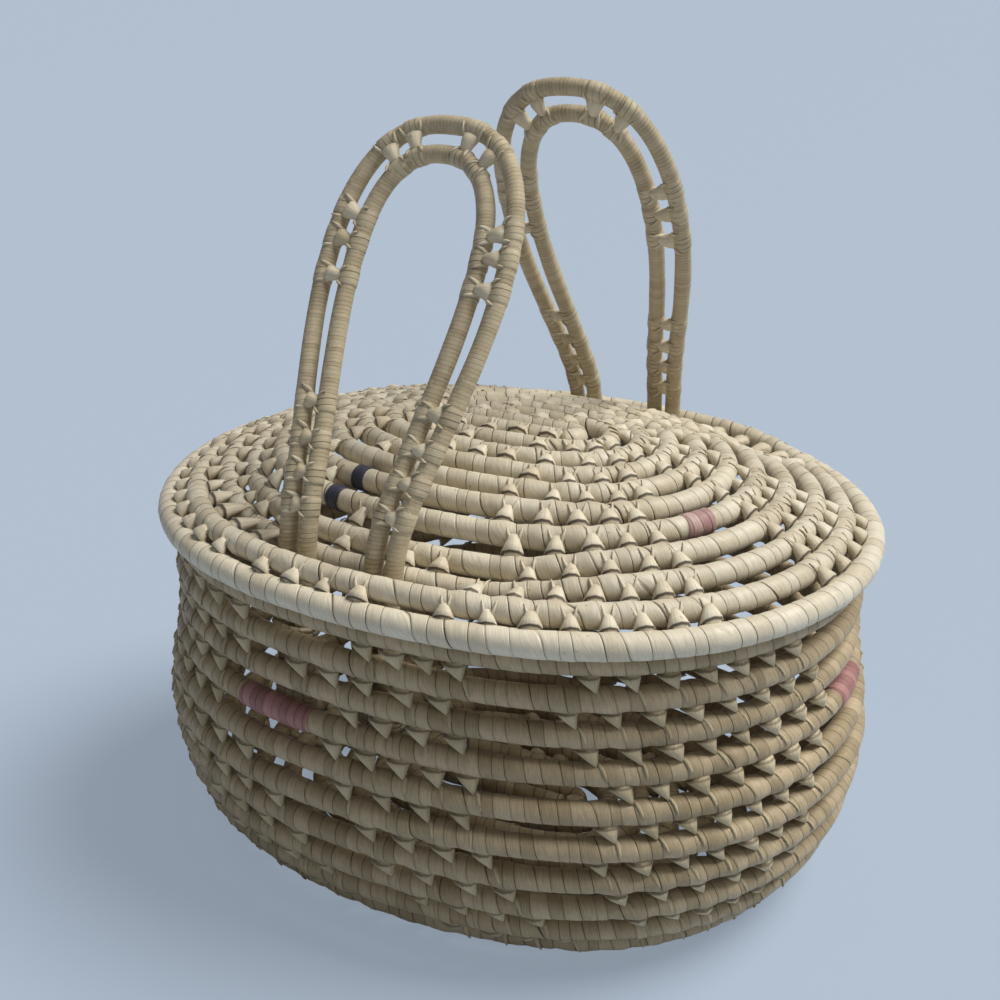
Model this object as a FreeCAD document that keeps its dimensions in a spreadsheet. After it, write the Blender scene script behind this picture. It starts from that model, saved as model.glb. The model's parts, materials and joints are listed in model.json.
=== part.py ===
import FreeCAD, Part
import math
import os

# Oval coiled palm-leaf basket for warm tortillas: a bulging openwork body, a domed lid that
# overhangs it, and two tall double-rod handles whose legs pass through slots in the lid.
# Origin at the middle of the underside, X along the long axis, Z up, millimetres.

Vector = FreeCAD.Vector
os.makedirs("parts", exist_ok=True)
doc = FreeCAD.newDocument("tortilla_basket")

# Driving sizes

SIZES = {
    # plan oval: a straight core stretched through rounded ends
    "core_half": 29.4,
    "rim_half_width": 135.6,
    "runs_per_row": 24,
    # coils, measured across flats
    "rim_coil": 11.0,
    "coil": 10.0,
    "seat_gap": 0.3,
    # lid
    "rim_height": 162.7,
    "lid_rise": 34.9,
    "lid_pitch": 13.1,
    "lid_lift": 40.0,
    # body profile
    "body_inset": 6.0,
    "body_bulge": 1.5,
    "neck_height": 121.3,
    "bulge_height": 73.2,
    "heel_inset": 38.0,
    "wall_pitch": 15.9,
    # handles
    "rod": 8.0,
    "near_handle_x": -25.1,
    "far_handle_x": 11.3,
    "near_handle_tall": 192.8,
    "far_handle_tall": 199.8,
    "near_swing": 0.357,
    "far_swing": 0.2997,
    "foot_half": 26.9,
    "wide_half": 44.0,
    "wide_level": 129.0,
    "arch_power": 2.4,
    "foot_spacing": 10.0,
    "rod_spacing": 13.4,
    "tail_length": 58.0,
    "leg_clearance": 0.8,
    # slots in the lid: the coils beside the legs spread apart, and the inner ones dip
    "slot_push_out": 3.6,
    "slot_push_in": 4.9,
    "slot_raise": 1.6,
    "slot_dip": 9.0,
    "slot_reach": 28.0,
    "slot_fade": 60.0,
    # ties
    "knot_step": 15.5,
    "knot_width": 8.0,
    "knot_depth": 5.5,
    "knot_tip": 2.6,
    "knot_clear": 0.15,
    "wrap_wall": 0.35,
}

sheet = doc.addObject("Spreadsheet::Sheet", "Sizes")
for line, (word, value) in enumerate(SIZES.items(), start=1):
    sheet.set("A%d" % line, word)
    sheet.set("B%d" % line, str(value))
    sheet.setAlias("B%d" % line, word)
doc.recompute()


def size(word):
    """Value of one named cell."""
    return float(sheet.get(word))


RUNS = int(size("runs_per_row"))
STEP_RUNS = 4
SEAM = round(RUNS * 11 / 24)
COIL_R = size("coil") / 2
RIM_R = size("rim_coil") / 2
ROD_R = size("rod") / 2
CORNER = 1 / math.cos(math.pi / 8)
RIM_HALF = size("rim_half_width")
RIM_Z = size("rim_height")

# The body's top row tucks under the lid's rim and carries it.
SEAT = (RIM_R + COIL_R) * CORNER + size("seat_gap")
TOP_Z = RIM_Z - math.sqrt(SEAT ** 2 - size("body_inset") ** 2)

# Half width that the innermost turn leaves for the straight double core
CORE_HALF_WIDTH = COIL_R + size("seat_gap") / 2
CORE_ROOM = CORE_HALF_WIDTH + 2 * COIL_R + size("seat_gap")

parts = []


# Row positions: each row of coil is (half width of its centre line, height)

def lid_rows():
    """Rows step in from the rim at the lid pitch and climb a shallow bowl-shaped dome."""
    rows = []
    half = RIM_HALF
    while half > CORE_ROOM:
        rise = size("lid_rise") * (1 - (half / RIM_HALF) ** 2)
        rows.append((half, RIM_Z + rise))
        half -= size("lid_pitch")
    return rows


def body_profile(height):
    """Half width of the wall at a height: straight neck, soft bulge, quarter-round heel."""
    neck, bulge = size("neck_height"), size("bulge_height")
    inset, swell = size("body_inset"), size("body_bulge")
    if height >= neck:
        return RIM_HALF - inset
    if height >= bulge:
        part = (neck - height) / (neck - bulge)
        return RIM_HALF - inset + (swell + inset) * part * part * (3 - 2 * part)
    drop = min((bulge - height) / (bulge - COIL_R), 1.0)
    return RIM_HALF + swell - size("heel_inset") * (1 - math.sqrt(1 - drop * drop))


def body_rows():
    """Rows march down the wall, round the heel and in across the base at one pitch."""
    step = 0.25
    angle_steps = 600
    trace = []
    height = TOP_Z
    while height > size("bulge_height"):
        trace.append((body_profile(height), height))
        height -= step
    fall = size("bulge_height") - COIL_R
    for i in range(angle_steps + 1):
        height = size("bulge_height") - fall * math.sin(math.pi / 2 * i / angle_steps)
        trace.append((body_profile(height), height))
    half = trace[-1][0]
    while half > CORE_ROOM:
        trace.append((half, COIL_R))
        half -= step
    rows = [trace[0]]
    for spot in trace:
        if math.dist(spot, rows[-1]) >= size("wall_pitch"):
            rows.append(spot)
    return rows


LID = lid_rows()
BODY = body_rows()
WALL_ROWS = sum(1 for half, height in BODY if height > 1.5 * COIL_R)

HANDLES = {}
for name, side in (("near", -1), ("far", 1)):
    HANDLES[name] = {
        "side": side,
        "x": size(name + "_handle_x"),
        "tall": size(name + "_handle_tall"),
        "swing": math.radians(size(name + "_swing")),
    }


def slot_shift(row, x, y):
    """How far (outward, up) a row is moved at one station by the legs that pass beside it."""
    handle = HANDLES["far" if y > 0 else "near"]
    away = abs(x - handle["x"]) - size("foot_half") - size("slot_reach") - ROD_R
    part = min(max(1 - away / size("slot_fade"), 0.0), 1.0)
    weight = part * part * (3 - 2 * part)
    if row == 1:
        return size("slot_push_out") * weight, size("slot_raise") * weight
    if row >= 2:
        push = max(1.14 / (row - 1) - 0.14, 0.0)
        dip = max(1 - ((row - 2) / 2.3) ** 2, 0.0)
        return -size("slot_push_in") * push * weight, -size("slot_dip") * dip * weight
    return 0.0, 0.0


def ring_point(rows, row, station, blend=0.0):
    """Corner of a row's polygon: a circle stretched along X by the straight core.

    Stations count the corners from the seam, at the far left; blend moves the corner towards
    the next row. Rows of the lid give way to the handle legs.
    """
    half, height = rows[row]
    if blend:
        half += (rows[row + 1][0] - half) * blend
        height += (rows[row + 1][1] - height) * blend
    turn = 2 * math.pi * (station - 0.5 + SEAM) / RUNS
    x = half * math.cos(turn) + size("core_half") * math.tanh(2.2 * math.cos(turn))
    y = half * math.sin(turn)
    if rows is LID:
        outward, up = slot_shift(row, x, y)
        y += outward * math.copysign(1, y)
        height += up
    return Vector(x, y, height)


def station_at(degrees):
    """Station of an angle round the basket, counted from its right end."""
    return (degrees / 360 * RUNS - 0.5 - SEAM) % RUNS + 1


def row_point(rows, row, station, stepped):
    """Corner of a row that, if stepped, moves to the next one in its last few runs."""
    if station > RUNS:
        return row_point(rows, row + 1, station - RUNS, stepped)
    blend = 0.0
    if stepped and row + 1 < len(rows):
        blend = max(station - RUNS + STEP_RUNS, 0) / STEP_RUNS
    return ring_point(rows, row, station, blend)


def along(a, b, share):
    return a + (b - a) * share


def ring_path(rows, row):
    """Closed row, started in the middle of a run."""
    corners = [ring_point(rows, row, s) for s in range(1, RUNS + 1)]
    middle = along(corners[0], corners[1], 0.5)
    return [middle] + corners[1:] + [corners[0], middle]


def spiral_path(rows, first, last):
    """Unbroken turns from one row to another, cut square in the middle of a run at both ends."""
    points = []
    for row in range(first, last + 1):
        for s in range(1, RUNS + 1):
            points.append(row_point(rows, row, s, True))
    start = along(points[0], points[1], 0.5)
    if last + 1 < len(rows):
        after = row_point(rows, last + 1, 1, True)
        beyond = row_point(rows, last + 1, 2, True)
        return [start] + points[1:] + [after, along(after, beyond, 0.5)]
    inner = points[:-2]
    return [start] + inner[1:-1] + [along(inner[-2], inner[-1], 0.5)]


# Dyed leaf: coloured wraps over parts of single runs, as (rows, row, angle, share of the run)

DYED = {
    "lid_pink_wrap": (LID, 4, 331.5, 0.7),
    "lid_navy_wrap_outer": (LID, 4, 249.5, 0.28),
    "lid_navy_wrap_inner": (LID, 5, 251.0, 0.28),
    "wall_pink_wrap_left": (BODY, 3, 255.0, 0.88),
    "wall_pink_wrap_right": (BODY, 3, 354.0, 0.88),
}


def dyed_span(degrees, share):
    """Run that a wrap sits on, and where on that run it starts and ends."""
    station = station_at(degrees)
    run = int(station)
    middle = min(max(station - run, share / 2 + 0.04), 0.96 - share / 2)
    return run, middle - share / 2, middle + share / 2


def is_dyed(rows, row, run, share, margin):
    """Whether a spot on a run lies on a wrap, or nearer to it than the margin."""
    for dyed_rows, dyed_row, degrees, length in DYED.values():
        dyed_run, start, end = dyed_span(degrees, length)
        if rows is dyed_rows and (row, run) == (dyed_row, dyed_run):
            if start - margin < share < end + margin:
                return True
    return False


# Builders

def keep(item, label):
    item.Label = label
    parts.append(item)
    return item


def frame_at(point, direction, up):
    """Placement whose Z runs along a direction and whose Y leans to up."""
    return FreeCAD.Placement(point, FreeCAD.Rotation(Vector(), up, direction, "ZYX"))


def wound_tube(label, points, across, up=Vector(0, 0, 1)):
    """Eight-sided coil with mitred corners along a path; its width comes from the sheet."""
    path = doc.addObject("Part::Feature", label + "_path")
    path.Shape = Part.makePolygon(points)
    profile = doc.addObject("Part::RegularPolygon", label + "_profile")
    profile.Polygon = 8
    profile.setExpression("Circumradius", "Sizes.%s / 2 / cos(22.5)" % across)
    direction = (points[1] - points[0]).normalize()
    flats = FreeCAD.Rotation(Vector(0, 0, 1), 22.5)
    place = frame_at(points[0], direction, up)
    profile.Placement = FreeCAD.Placement(place.Base, place.Rotation * flats)
    tube = doc.addObject("Part::Sweep", label)
    tube.Sections = [profile]
    tube.Spine = (path, ["Edge%d" % i for i in range(1, len(points))])
    tube.Solid = True
    tube.Frenet = False
    tube.Transition = "Right corner"
    return keep(tube, label)


def straight_bar(label, across, length, place, listed=True):
    """Eight-sided straight bar."""
    bar = doc.addObject("Part::Prism", label)
    bar.Polygon = 8
    bar.setExpression("Circumradius", "Sizes.%s / 2 / cos(22.5)" % across)
    bar.Height = length
    flats = FreeCAD.Rotation(Vector(0, 0, 1), 22.5)
    bar.Placement = FreeCAD.Placement(place.Base, place.Rotation * flats)
    if listed:
        keep(bar, label)
    return bar


SHORTEST_KNOT = 0.5


def standoff(reach, run, radius, half_wide):
    """Distance along a slanting knot's axis at which its square end clears a coil."""
    slant = abs(reach.dot(run) / run.Length)
    upright = math.sqrt(1 - slant ** 2)
    return (radius * CORNER + half_wide * slant) / upright + size("knot_clear")


def knot(low, high, runs, low_r, high_r):
    """Tie between two coils: a wide foot on the first, pinched to a ridge at the second."""
    reach = (high - low).normalize()
    wide, deep = size("knot_width") / 2, size("knot_depth") / 2
    tip = size("knot_tip") / 2
    start = standoff(reach, runs[0], low_r, wide)
    end = (high - low).Length - standoff(reach, runs[1], high_r, tip)
    if end - start < SHORTEST_KNOT:
        return None
    run = (runs[0] - reach * runs[0].dot(reach)).normalize()
    solid = Part.makeWedge(-wide, 0, -deep, -tip, 0, wide, end - start, deep, tip, 0)
    turn = FreeCAD.Rotation(run, reach, run.cross(reach), "XYZ")
    solid.Placement = FreeCAD.Placement(low + reach * start, turn)
    return solid


def knot_group(label, solids):
    """All the knots of one row; places too tight for a knot have none."""
    group = doc.addObject("Part::Feature", label)
    group.Shape = Part.makeCompound([solid for solid in solids if solid])
    return keep(group, label)


def group_stations(rows, row, groups):
    """Evenly spaced stations of the knots in each group along one row, none astride a corner."""
    spots = []
    for first, last in groups:
        start = station_at(first)
        span = (last - first) / 360 * RUNS
        length = 0.0
        for i in range(20):
            p = ring_point(rows, row, start + span * i / 20)
            length += (ring_point(rows, row, start + span * (i + 1) / 20) - p).Length
        count = round(length / size("knot_step"))
        for i in range(count + 1):
            part = i / count if count else 0.5
            spots.append((start + span * part - 1) % RUNS + 1)
    return spots


def row_knots(rows, row, groups, low_r):
    """Knots of one gap between neighbouring rows; the closed outer row isn't stepped."""
    solids = []
    used = []
    room = size("knot_width") + 2 * size("seat_gap")
    stepped = row > 0
    for station in group_stations(rows, row, groups):
        s = int(station)
        if not stepped and s > RUNS - STEP_RUNS / 2:
            continue
        if row + 2 >= len(rows) and s >= RUNS - 3:
            continue
        low = [row_point(rows, row, s, stepped), row_point(rows, row, s + 1, stepped)]
        if not stepped:
            low = [ring_point(rows, row, s), ring_point(rows, row, s + 1)]
        high = [row_point(rows, row + 1, s, True), row_point(rows, row + 1, s + 1, True)]
        run = (low[1] - low[0]).Length
        edge = min((size("knot_width") / 2 + size("seat_gap")) / run, 0.5)
        share = min(max(station - s, edge), 1 - edge)
        margin = size("knot_width") / run
        if any(is_dyed(rows, r, s, share, margin) for r in (row, row + 1)):
            continue
        base = along(*low, share)
        if any((base - other).Length < room for other in used):
            continue
        used.append(base)
        runs = (low[1] - low[0], high[1] - high[0])
        solids.append(knot(base, along(*high, share), runs, low_r, COIL_R))
    return solids


def both_sides(right, left, near_groups, far_groups=None):
    """Groups round a whole row: one about each end, and those of the two long sides.

    The far side mirrors the near one where it isn't given.
    """
    groups = [(180 - left, 180 + left)] + near_groups
    if right:
        groups.append((-right, right))
    if far_groups is None:
        far_groups = [(360 - last, 360 - first) for first, last in near_groups]
    return groups + far_groups


def double_core(label, rows, height):
    """Two straight bars side by side inside the innermost turn, tied to it along both sides."""
    half, lift = rows[-1]
    length = 2 * (size("core_half") + half - 4.3 * COIL_R)
    along_x = FreeCAD.Rotation(Vector(0, 1, 0), 90)
    ties = []
    for side, word in ((-1, "near"), (1, "far")):
        bar_y = side * CORE_HALF_WIDTH
        place = FreeCAD.Placement(Vector(-length / 2, bar_y, height), along_x)
        straight_bar("%s_core_%s" % (label, word), "coil", length, place)
        count = round(2 * size("core_half") / size("knot_step"))
        for i in range(count):
            x = 2 * size("core_half") * ((i + 0.5) / count - 0.5)
            outer = Vector(x, side * side_distance(rows, len(rows) - 1, x, side), lift)
            runs = (Vector(1, 0, 0), Vector(1, 0, 0))
            tie = knot(outer, Vector(x, bar_y, height), runs, COIL_R, COIL_R)
            ties.append(tie)
    return ties


def side_distance(rows, row, x, side):
    """Distance from the long axis to one side of a row's polygon, at a place along the axis."""
    corners = [ring_point(rows, row, s) for s in range(RUNS + 1)]
    for p, q in zip(corners, corners[1:]):
        if p.y * side > 0 and q.y * side > 0 and min(p.x, q.x) <= x <= max(p.x, q.x):
            return abs(p.y + (q.y - p.y) * (x - p.x) / (q.x - p.x))
    return 0.0


# Lid: closed rim coil, then one unbroken coil from the rim in to the straight core

# Angles of the knot groups of each gap, from the rim inward: half of the one about the right
# end, half of the one about the left end, and those of one long side

LID_GROUPS = [
    both_sides(14, 64, [(254, 269), (280, 318)]),
    both_sides(13, 66, [(282, 318)], [(42, 68)]),
    both_sides(12, 64, [(259, 275), (289, 319)]),
    both_sides(12, 58, [(248, 258), (286, 317)]),
    both_sides(12, 52, [(243, 251), (283, 323)]),
    both_sides(14, 48, [(283, 322)]),
    both_sides(16, 44, [(243, 247), (286, 322)]),
    both_sides(18, 37, [(262, 278), (290, 325)]),
    both_sides(20, 40, [(245, 262), (286, 320)]),
]

wound_tube("lid_rim_coil", ring_path(LID, 0), "rim_coil")
wound_tube("lid_slot_coil", spiral_path(LID, 1, 1), "coil")
wound_tube("lid_crown_coil", spiral_path(LID, 2, len(LID) - 1), "coil")
for row in range(len(LID) - 1):
    groups = LID_GROUPS[min(row, len(LID_GROUPS) - 1)]
    solids = row_knots(LID, row, groups, RIM_R if row == 0 else COIL_R)
    knot_group("lid_knots_row_%02d" % (row + 1), solids)
knot_group("lid_core_knots", double_core("lid", LID, RIM_Z + size("lid_rise")))


# Body: closed top row, then one unbroken coil down the wall and in across the base

# The same for the wall, from the top down: no group at the right end, a long one at the left

WALL_GROUPS = [
    both_sides(0, 68, [(269, 281), (299, 336)]),
    both_sides(0, 68, [(259, 279), (296, 342)]),
    both_sides(0, 68, [(262, 281), (299, 345)]),
    both_sides(0, 68, [(265, 283), (304, 343)]),
    both_sides(0, 70, [(267, 282), (302, 340)]),
    both_sides(0, 76, [(270, 285), (301, 339)]),
    both_sides(0, 79, [(272, 288), (304, 338)]),
    both_sides(0, 82, [(276, 292), (308, 338)]),
    both_sides(0, 85, [(280, 296), (309, 336)]),
]
BASE_GROUPS = both_sides(15, 15, [(218, 240), (262, 278), (300, 322)])


half_wall = (WALL_ROWS + 1) // 2
wound_tube("body_rim_coil", ring_path(BODY, 0), "coil")
wound_tube("wall_upper_coil", spiral_path(BODY, 1, half_wall - 1), "coil")
wound_tube("wall_lower_coil", spiral_path(BODY, half_wall, WALL_ROWS - 1), "coil")
wound_tube("base_coil", spiral_path(BODY, WALL_ROWS, len(BODY) - 1), "coil")
for row in range(WALL_ROWS - 1):
    groups = WALL_GROUPS[min(row, len(WALL_GROUPS) - 1)]
    knot_group("wall_knots_row_%02d" % (row + 1), row_knots(BODY, row, groups, COIL_R))
base_solids = double_core("base", BODY, COIL_R)
for row in range(WALL_ROWS - 1, len(BODY) - 1):
    base_solids += row_knots(BODY, row, BASE_GROUPS, COIL_R)
knot_group("base_knots", base_solids)


# Handles: each leg leaves the wall at the top row, passes the lid's slot and leans in

def chord(handle, half, rows_used):
    """Mean distance from the long axis of one or two rows, either side of a handle's middle."""
    ends = []
    for leg in (-1, 1):
        x = handle["x"] + leg * half
        spans = [side_distance(rows, row, x, handle["side"]) for rows, row in rows_used]
        ends.append(sum(spans) / len(spans))
    return ends


# The hinge line of a handle lies just inside the top row, along the chord between its legs.
PIVOT_IN = COIL_R + size("leg_clearance") + ROD_R
SLOT_Z = (LID[1][1] + size("slot_raise") + LID[2][1] - size("slot_dip")) / 2
REACH_UP = SLOT_Z - TOP_Z

for name, handle in HANDLES.items():
    wall = chord(handle, size("foot_half"), [(BODY, 0)])
    legs = size("foot_half") - size("foot_spacing") / 2
    slot = chord(handle, legs, [(LID, 1), (LID, 2)])
    side = handle["side"]
    skew = math.atan2(side * (wall[1] - wall[0]), 2 * size("foot_half"))
    handle["line"] = Vector(math.cos(skew), math.sin(skew), 0)
    handle["inward"] = Vector(side * math.sin(skew), -side * math.cos(skew), 0)
    handle["hinge"] = Vector(handle["x"], side * ((wall[0] + wall[1]) / 2 - PIVOT_IN), TOP_Z)
    handle["reach"] = ((wall[0] + wall[1] - slot[0] - slot[1]) / 2 - PIVOT_IN) * math.cos(skew)


def lean_curve(level, handle):
    """Side view of a leg above the slot, from its bend at the top row: (inward, up).

    Up to the lid's lift the curve is the slot's path seen from the swinging handle, so that
    the lid can rise while the handle turns outward; beyond it the leg runs on straight.
    """
    rate, reach = handle["swing"], handle["reach"]
    lift = min(level, size("lid_lift"))
    angle = rate * lift
    inward = reach * math.cos(angle) + (lift + REACH_UP) * math.sin(angle)
    up = (lift + REACH_UP) * math.cos(angle) - reach * math.sin(angle)
    lean = angle + math.atan2((lift + REACH_UP) * rate, 1 - reach * rate)
    extra = max(level - lift, 0.0)
    return inward + extra * math.sin(lean), up + extra * math.cos(lean)


def arch_half(level, foot, wide, tall):
    """Half width of the arch: flares from the foot, then closes in a rounded crown."""
    widest = size("wide_level")
    if level <= widest:
        part = max(level, 0.0) / widest
        return foot + (wide - foot) * part * part * (3 - 2 * part)
    part = min((level - widest) / (tall - widest), 1.0)
    power = size("arch_power")
    return wide * (1 - part ** power) ** (1 / power)


def rod_point(handle, inner, leg, spot):
    """Point of a rod; spot runs 0 to 1 up the leg and 1 to 2 round to the crown's middle."""
    tall = handle["tall"] - (size("rod_spacing") if inner else 0.0)
    foot = foot_width(inner)
    wide = size("wide_half") - (size("rod_spacing") if inner else 0.0)
    if spot <= 1:
        level = spot * size("wide_level")
    else:
        level = size("wide_level") + (tall - size("wide_level")) * math.sin((spot - 1) * math.pi / 2)
    inward, up = lean_curve(level, handle)
    sideways = leg * arch_half(level, foot, wide, tall)
    return handle["hinge"] + handle["line"] * sideways + handle["inward"] * inward + Vector(0, 0, up)


def foot_point(handle, inner, leg):
    """Where a rod meets the hinge line."""
    return handle["hinge"] + handle["line"] * leg * foot_width(inner)


def foot_width(inner):
    return size("foot_half") - (size("foot_spacing") if inner else 0.0)


LEG_SPOTS = [0, 0.11, 0.22, 0.335, 0.62, 0.82, 1.0, 1.25, 1.5, 1.72, 1.88]


def rod_path(handle, inner):
    left = [rod_point(handle, inner, -1, spot) for spot in LEG_SPOTS]
    right = [rod_point(handle, inner, 1, spot) for spot in LEG_SPOTS]
    crown = rod_point(handle, inner, 1, 2.0)
    return [foot_point(handle, inner, -1)] + left + [crown] + right[::-1] + [foot_point(handle, inner, 1)]


TIED_R = ROD_R + size("seat_gap")
TIE_SPOTS = {
    -1: [0.17, 0.27, 0.38, 0.5, 0.93, 1.08, 1.22, 1.62, 1.8],
    1: [0.2, 0.31, 0.42, 0.54, 0.95, 1.08, 1.2, 1.66, 1.86],
}

for name, handle in HANDLES.items():
    out = handle["inward"]
    wound_tube(name + "_outer_rod", rod_path(handle, False), "rod", out)
    wound_tube(name + "_inner_rod", rod_path(handle, True), "rod", out)
    ties = []
    for leg, spots in TIE_SPOTS.items():
        for spot in spots:
            a = rod_point(handle, False, leg, spot)
            b = rod_point(handle, True, leg, spot)
            next_a = rod_point(handle, False, leg, spot + 0.02)
            next_b = rod_point(handle, True, leg, spot + 0.02)
            ties.append(knot(b, a, (next_b - b, next_a - a), TIED_R, TIED_R))
    knot_group(name + "_handle_ties", ties)

    # The tied ends hang inside the wall, in line with the legs; their tops clear the swing.
    tilt = math.atan2(handle["reach"], REACH_UP)
    top = TOP_Z - ROD_R * CORNER * math.sin(tilt) - size("leg_clearance") / 2
    turn = FreeCAD.Rotation(Vector(1, 0, 0), handle["line"])
    tails = []
    for leg in (-1, 1):
        for inner in (False, True):
            spot = foot_point(handle, inner, leg)
            spot.z = top - size("tail_length")
            place = FreeCAD.Placement(spot, turn)
            tails.append(straight_bar("tail", "rod", size("tail_length"), place, False))
        between = (foot_point(handle, False, leg) + foot_point(handle, True, leg)) / 2
        for share in (0.25, 0.75):
            lashing = doc.addObject("Part::Box", "lashing")
            lashing.setExpression("Length", "Sizes.foot_spacing - Sizes.rod - 2 * Sizes.seat_gap")
            lashing.setExpression("Width", "Sizes.rod * 0.7")
            lashing.Height = size("knot_width")
            lashing_long = size("foot_spacing") - size("rod") - 2 * size("seat_gap")
            corner = Vector(-lashing_long / 2, -0.35 * size("rod"), 0)
            between.z = top - size("tail_length") * share
            lashing.Placement = FreeCAD.Placement(between + turn * corner, turn)
            tails.append(lashing)
    group = doc.addObject("Part::Compound", name + "_handle_tails")
    group.Links = tails
    keep(group, name + "_handle_tails")


def dyed_wrap(label, rows, row, degrees, share):
    """Thin eight-sided sleeve over part of a straight run."""
    run, start, end = dyed_span(degrees, share)
    a = row_point(rows, row, run, True)
    b = row_point(rows, row, run + 1, True)
    place = frame_at(along(a, b, start), (b - a).normalize(), Vector(0, 0, 1))
    length = (b - a).Length * (end - start)
    flats = FreeCAD.Rotation(Vector(0, 0, 1), 22.5)
    skin = doc.addObject("Part::Prism", label + "_skin")
    hole = doc.addObject("Part::Prism", label + "_hole")
    for piece, extra in ((skin, "0.05 + Sizes.wrap_wall"), (hole, "0.05")):
        piece.Polygon = 8
        piece.setExpression("Circumradius", "(Sizes.coil / 2 / cos(22.5) + %s) / cos(22.5)" % extra)
        piece.Height = length
        piece.Placement = FreeCAD.Placement(place.Base, place.Rotation * flats)
    wrap = doc.addObject("Part::Cut", label)
    wrap.Base = skin
    wrap.Tool = hole
    keep(wrap, label)


for label, spot in DYED.items():
    dyed_wrap(label, *spot)

doc.recompute()

for item in doc.Objects:
    if "Invalid" in item.State or "Error" in item.State:
        raise RuntimeError("failed: " + item.Label)
triangles = 0
for item in parts:
    shape = item.Shape
    if shape.isNull() or not shape.isValid():
        raise RuntimeError("bad shape: " + item.Label)
    shape.exportStep("parts/%s.step" % item.Label)
    triangles += len(shape.tessellate(0.2)[1])
box = Part.makeCompound([item.Shape for item in parts]).BoundBox
for name, handle in HANDLES.items():
    print(name, "hinge", handle["hinge"], "line", handle["line"], "reach %.3f" % handle["reach"])
print("nodes", len(parts), "triangles", triangles, "rows", len(LID), len(BODY), WALL_ROWS)
print("size %.1f x %.1f x %.1f, floor %.2f" % (box.XLength, box.YLength, box.ZLength, box.ZMin))
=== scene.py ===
"""Looks of the tortilla warmer: wound coils, knotted stitches and wrapped cane handles.

Lengths inside the formulas are millimetres and become metres when a mesh is made.
"""

import bpy
import json
import math
import numpy as np
from mathutils import Matrix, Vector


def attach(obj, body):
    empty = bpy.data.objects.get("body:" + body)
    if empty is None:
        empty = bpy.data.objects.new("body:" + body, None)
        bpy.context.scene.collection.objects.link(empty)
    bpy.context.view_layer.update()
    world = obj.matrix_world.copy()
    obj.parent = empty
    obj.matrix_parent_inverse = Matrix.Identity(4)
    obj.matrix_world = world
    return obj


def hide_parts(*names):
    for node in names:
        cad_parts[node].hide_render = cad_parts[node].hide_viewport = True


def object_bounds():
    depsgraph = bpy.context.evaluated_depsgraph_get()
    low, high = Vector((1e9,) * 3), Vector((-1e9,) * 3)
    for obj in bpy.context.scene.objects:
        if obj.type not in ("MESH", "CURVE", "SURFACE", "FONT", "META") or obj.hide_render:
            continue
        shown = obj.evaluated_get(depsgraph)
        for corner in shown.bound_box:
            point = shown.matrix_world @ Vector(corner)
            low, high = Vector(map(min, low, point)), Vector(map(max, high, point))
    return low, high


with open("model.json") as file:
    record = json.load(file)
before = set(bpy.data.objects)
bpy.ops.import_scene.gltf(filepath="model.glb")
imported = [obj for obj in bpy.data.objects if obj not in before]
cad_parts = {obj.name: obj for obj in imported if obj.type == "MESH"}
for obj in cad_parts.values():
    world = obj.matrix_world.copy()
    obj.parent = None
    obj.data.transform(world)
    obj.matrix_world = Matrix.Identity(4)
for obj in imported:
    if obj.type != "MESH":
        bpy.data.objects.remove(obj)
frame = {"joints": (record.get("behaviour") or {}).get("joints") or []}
CAD_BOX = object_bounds()
TAU = 2 * math.pi
UP = np.array([0.0, 0.0, 1.0])

# Sizes shared with the frame, in millimetres

CORE_HALF = 29.4                        # half of the straight length in every oval
CORE_TURN = 2.2                         # how soon an oval's side turns into its end
RIM_HALF, RIM_Z = 135.6, 162.7          # half width and height of the lid's rim coil
RIM_R, COIL_R, ROD_R = 5.5, 5.0, 4.0    # radii of the rim coil, the other coils and the canes
SEAT_GAP = 0.3                          # between coils that rest on each other
LID_PITCH, LID_RISE = 13.1, 34.9        # from row to row across the lid, and the dome's height
BODY_INSET, BODY_BULGE = 6.0, 1.5       # neck inside the rim, and bulge outside it
NECK_Z, BULGE_Z, HEEL = 121.3, 73.2, 38.0
WALL_PITCH = 15.9
RUNS, SEAM, STEP_RUNS = 24, 11, 4       # stations of a turn, where turns start, length of a step
CORNER = 1 / math.cos(math.pi / 8)      # corner of an eight-sided coil over its flat
TOP_Z = RIM_Z - math.sqrt(((RIM_R + COIL_R) * CORNER + SEAT_GAP) ** 2 - BODY_INSET ** 2)
CORE_Y = COIL_R + SEAT_GAP / 2
CORE_ROOM = CORE_Y + 2 * COIL_R + SEAT_GAP
CORE_SHORT = 4.3 * COIL_R               # each core bar ends this far inside the row round it
ROUNDING = 0.9957                       # smooth oval against the frame's straight runs
KNOT_STEP, KNOT_ROOM = 15.5, 9.0        # between stitches: usual, and least
FOOT_HALF, FOOT_SPACING, ROD_SPACING = 26.9, 10.0, 13.4
WIDE_HALF, WIDE_LEVEL, ARCH_POWER = 44.0, 129.0, 2.4
LID_LIFT = 40.0
SLOT_REACH, SLOT_FADE = 28.0, 60.0      # beside the legs: full width of a slot, then its fading
SLOT_OUT, SLOT_IN, SLOT_RAISE, SLOT_DIP = 3.6, 4.9, 1.6, 9.0
TAIL_LONG = 58.0                        # ends of the canes inside the wall
HANDLE = {
    "near": {"side": -1, "x": -25.1, "tall": 192.8, "swing": math.radians(0.357),
             "slant": -0.062, "reach": 3.975},
    "far": {"side": 1, "x": 11.3, "tall": 199.8, "swing": math.radians(0.2997),
            "slant": 0.03, "reach": 4.032},
}


def eased(part):
    """Smooth step: three times the square less twice the cube."""
    return part * part * (3 - 2 * part)


# Rows: half width and height of each row of coil

def lid_rows():
    """Rows one pitch apart from the rim inward, lifted by a parabola."""
    half = np.arange(RIM_HALF, CORE_ROOM, -LID_PITCH)
    return np.stack([half, RIM_Z + LID_RISE * (1 - (half / RIM_HALF) ** 2)], 1)


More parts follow.
